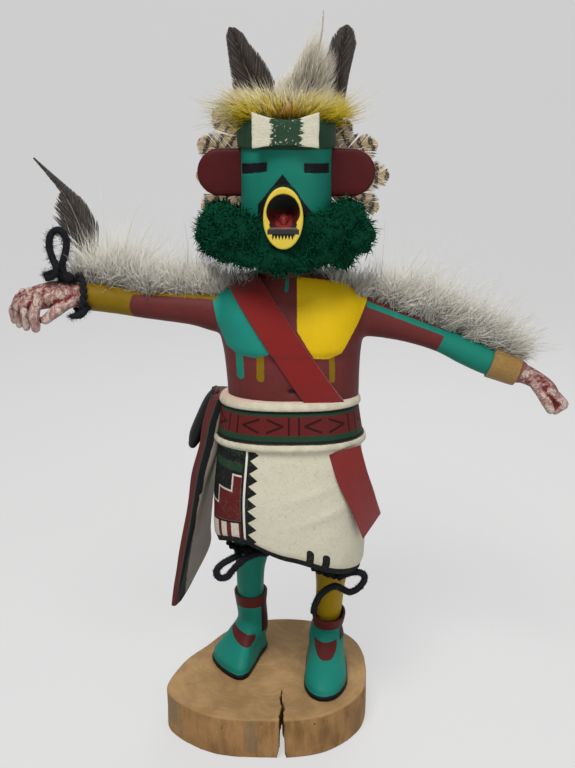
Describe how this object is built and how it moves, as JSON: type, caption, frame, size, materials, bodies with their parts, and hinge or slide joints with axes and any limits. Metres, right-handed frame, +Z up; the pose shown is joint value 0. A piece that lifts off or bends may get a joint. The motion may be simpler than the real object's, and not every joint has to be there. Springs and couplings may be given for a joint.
{
  "type": "kachina doll",
  "caption": "Carved and painted wooden kachina doll with open arms, a yarn ruff, feathers, kilt, sash and moccasins, standing on a slice of wood.",
  "frame": {"origin": "middle of the base's flat underside", "axes": "+Z up, the doll faces -Y and its left arm reaches towards +X"},
  "size_m": [0.2438, 0.0926, 0.321],
  "materials": {
    "bare_wood": "sawn pale wood with fine grain, grey stains and an open drying crack",
    "painted_wood": "carved wood under matte paint in maroon, turquoise, yellow, white, black and green",
    "maroon_paint": "dark maroon matte paint on carved wood, with green, black and white areas on the sash",
    "yellow_paint": "yellow paint round a dark open mouth with a red tongue",
    "bow_paint": "white paint at the ends and dark green in the middle, with a ragged brushed edge",
    "green_yarn": "deep green looped yarn",
    "red_leather": "thin matte red leather",
    "tan_leather": "thin tan leather with a grained face",
    "black_yarn": "soft black wool yarn",
    "dark_feather": "dark brown feather vane with fine barbs",
    "barred_feather": "cream feather vane with brown black bars and frayed tips",
    "white_down": "loose white and pale grey down",
    "yellow_down": "loose down dyed yellow, orange in the middle"
  },
  "bodies": {
    "root": {"base": "bare_wood", "figure": "painted_wood", "ear_right": "maroon_paint", "ear_left": "maroon_paint", "snout": "yellow_paint", "head_bow": "bow_paint", "ruff": "green_yarn", "shoulder_strap": "red_leather", "strap_tail": "red_leather", "hip_sash": "maroon_paint", "upright_feather_right": "dark_feather", "upright_feather_left": "dark_feather", "crown_plume": "white_down", "crown_fluff": "yellow_down", "fan_feather_1": "barred_feather", "fan_feather_2": "barred_feather", "fan_feather_3": "barred_feather", "fan_feather_4": "barred_feather", "fan_feather_5": "barred_feather", "fan_feather_6": "barred_feather", "fan_feather_7": "barred_feather", "fan_feather_8": "barred_feather", "fan_feather_9": "barred_feather", "fan_feather_10": "barred_feather", "fan_feather_11": "barred_feather", "fan_feather_12": "barred_feather", "wrist_feather": "dark_feather", "arm_down_right_1": "white_down", "arm_down_right_2": "white_down", "arm_down_left_1": "white_down", "arm_down_left_2": "white_down", "wrist_cuff": "tan_leather", "garter_right": "black_yarn", "garter_right_bow": "black_yarn", "garter_left": "black_yarn", "garter_left_bow": "black_yarn", "wrist_yarn": "black_yarn", "wrist_yarn_bow": "black_yarn"}
  },
  "joints": []
}
